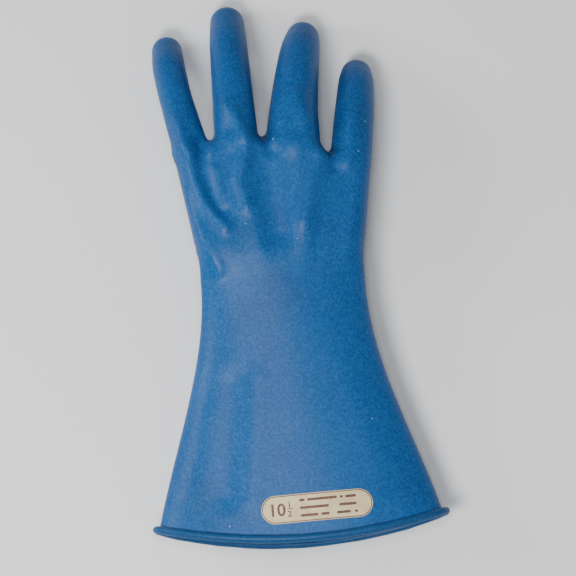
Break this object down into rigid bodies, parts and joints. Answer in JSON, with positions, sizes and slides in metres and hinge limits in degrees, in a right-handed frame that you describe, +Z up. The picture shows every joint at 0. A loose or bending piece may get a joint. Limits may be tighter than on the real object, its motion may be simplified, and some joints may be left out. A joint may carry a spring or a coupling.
{
  "type": "electrical insulating rubber glove",
  "caption": "Dipped-rubber electrical insulating glove for the right hand: flared gauntlet with a rolled edge, palm, and jointed finger and thumb sleeves.",
  "frame": {"origin": "under the middle of the glove's bounding box, on the surface that it lies on", "axes": "+Y along the glove from the open cuff to the fingertips, +Z up out of the back of the hand, +X towards the little finger"},
  "size_m": [0.1906, 0.356, 0.0606],
  "materials": {
    "skin": "satin blue natural rubber with a fine powdery mottle",
    "fold_skin": "satin blue natural rubber, the same skin where it bends",
    "rolled_edge": "satin blue natural rubber, rolled into a cord",
    "label": "matte tan bonded label with a thin dark border"
  },
  "bodies": {
    "cuff": {"gauntlet": "skin", "cuff_roll": "rolled_edge", "size_label": "label", "wrist_fold": "fold_skin"},
    "hand": {"palm": "skin", "thumb_root_fold": "fold_skin", "index_knuckle_fold": "fold_skin", "middle_knuckle_fold": "fold_skin", "ring_knuckle_fold": "fold_skin", "little_knuckle_fold": "fold_skin"},
    "thumb_base": {"thumb_sleeve": "skin", "thumb_joint_fold": "fold_skin"},
    "thumb_end": {"thumb_tip": "skin"},
    "index_base": {"index_base_sleeve": "skin", "index_middle_fold": "fold_skin"},
    "index_middle": {"index_middle_sleeve": "skin", "index_end_fold": "fold_skin"},
    "index_end": {"index_tip": "skin"},
    "middle_base": {"middle_base_sleeve": "skin", "middle_middle_fold": "fold_skin"},
    "middle_middle": {"middle_middle_sleeve": "skin", "middle_end_fold": "fold_skin"},
    "middle_end": {"middle_tip": "skin"},
    "ring_base": {"ring_base_sleeve": "skin", "ring_middle_fold": "fold_skin"},
    "ring_middle": {"ring_middle_sleeve": "skin", "ring_end_fold": "fold_skin"},
    "ring_end": {"ring_tip": "skin"},
    "little_base": {"little_base_sleeve": "skin", "little_middle_fold": "fold_skin"},
    "little_middle": {"little_middle_sleeve": "skin", "little_end_fold": "fold_skin"},
    "little_end": {"little_tip": "skin"}
  },
  "joints": [
    {"name": "wrist_bend", "type": "hinge", "parent": "cuff", "child": "hand", "pos_m": [-0.0015, -0.012, 0.0405], "axis": [-1, 0, 0], "range_deg": [-35, 45], "stiffness_Nm_per_rad": 2, "deforming": ["wrist_fold"]},
    {"name": "thumb_base_swing", "type": "hinge", "parent": "hand", "child": "thumb_base", "pos_m": [-0.04729, 0.03539, 0.01413], "axis": [0, 0, 1], "range_deg": [-8, 70], "stiffness_Nm_per_rad": 0.2, "deforming": ["thumb_root_fold"]},
    {"name": "thumb_tip_bend", "type": "hinge", "parent": "thumb_base", "child": "thumb_end", "pos_m": [-0.02985, 0.05724, 0.01365], "axis": [0, 0, -1], "range_deg": [-10, 40], "stiffness_Nm_per_rad": 0.15, "deforming": ["thumb_joint_fold"]},
    {"name": "index_knuckle_bend", "type": "hinge", "parent": "hand", "child": "index_base", "pos_m": [-0.05786, 0.09187, 0.03852], "axis": [-0.9743, -0.2253, 0], "range_deg": [-12, 50], "stiffness_Nm_per_rad": 0.2, "deforming": ["index_knuckle_fold"]},
    {"name": "index_middle_bend", "type": "hinge", "parent": "index_base", "child": "index_middle", "pos_m": [-0.06289, 0.1155, 0.03147], "axis": [-0.9845, -0.1755, 0], "range_deg": [-12, 60], "stiffness_Nm_per_rad": 0.15, "deforming": ["index_middle_fold"]},
    {"name": "index_end_bend", "type": "hinge", "parent": "index_middle", "child": "index_end", "pos_m": [-0.06583, 0.13463, 0.02007], "axis": [-0.9951, -0.0993, 0], "range_deg": [-7.2, 36], "stiffness_Nm_per_rad": 0.05, "deforming": ["index_end_fold"]},
    {"name": "middle_knuckle_bend", "type": "hinge", "parent": "hand", "child": "middle_base", "pos_m": [-0.02568, 0.09591, 0.03767], "axis": [-0.9997, -0.0263, 0], "range_deg": [-12, 50], "stiffness_Nm_per_rad": 0.2, "deforming": ["middle_knuckle_fold"]},
    {"name": "middle_middle_bend", "type": "hinge", "parent": "middle_base", "child": "middle_middle", "pos_m": [-0.02625, 0.12366, 0.03064], "axis": [-0.9998, -0.0175, 0], "range_deg": [-12, 60], "stiffness_Nm_per_rad": 0.15, "deforming": ["middle_middle_fold"]},
    {"name": "middle_end_bend", "type": "hinge", "parent": "middle_middle", "child": "middle_end", "pos_m": [-0.02662, 0.14629, 0.01966], "axis": [-1, -0.0093, 0], "range_deg": [-7.2, 36], "stiffness_Nm_per_rad": 0.05, "deforming": ["middle_end_fold"]},
    {"name": "ring_knuckle_bend", "type": "hinge", "parent": "hand", "child": "ring_base", "pos_m": [0.01139, 0.09126, 0.0321], "axis": [-0.9926, 0.1216, 0], "range_deg": [-12, 50], "stiffness_Nm_per_rad": 0.2, "deforming": ["ring_knuckle_fold"]},
    {"name": "ring_middle_bend", "type": "hinge", "parent": "ring_base", "child": "ring_middle", "pos_m": [0.01507, 0.11828, 0.02532], "axis": [-0.9878, 0.1557, 0], "range_deg": [-12, 60], "stiffness_Nm_per_rad": 0.15, "deforming": ["ring_middle_fold"]},
    {"name": "ring_end_bend", "type": "hinge", "parent": "ring_middle", "child": "ring_end", "pos_m": [0.0184, 0.13796, 0.01584], "axis": [-0.9802, 0.1979, 0], "range_deg": [-7.2, 36], "stiffness_Nm_per_rad": 0.05, "deforming": ["ring_end_fold"]},
    {"name": "little_knuckle_bend", "type": "hinge", "parent": "hand", "child": "little_base", "pos_m": [0.04929, 0.08065, 0.02799], "axis": [-0.9903, 0.1392, 0], "range_deg": [-12, 50], "stiffness_Nm_per_rad": 0.2, "deforming": ["little_knuckle_fold"]},
    {"name": "little_middle_bend", "type": "hinge", "parent": "little_base", "child": "little_middle", "pos_m": [0.0519, 0.09939, 0.02212], "axis": [-0.9914, 0.1309, 0], "range_deg": [-12, 60], "stiffness_Nm_per_rad": 0.15, "deforming": ["little_middle_fold"]},
    {"name": "little_end_bend", "type": "hinge", "parent": "little_middle", "child": "little_end", "pos_m": [0.05377, 0.11408, 0.01429], "axis": [-0.9935, 0.1137, 0], "range_deg": [-7.2, 36], "stiffness_Nm_per_rad": 0.05, "deforming": ["little_end_fold"]}
  ],
  "couplings": [
    {"joint": "index_end_bend", "follows": "index_middle_bend", "ratio": 0.6},
    {"joint": "middle_end_bend", "follows": "middle_middle_bend", "ratio": 0.6},
    {"joint": "ring_end_bend", "follows": "ring_middle_bend", "ratio": 0.6},
    {"joint": "little_end_bend", "follows": "little_middle_bend", "ratio": 0.6}
  ]
}
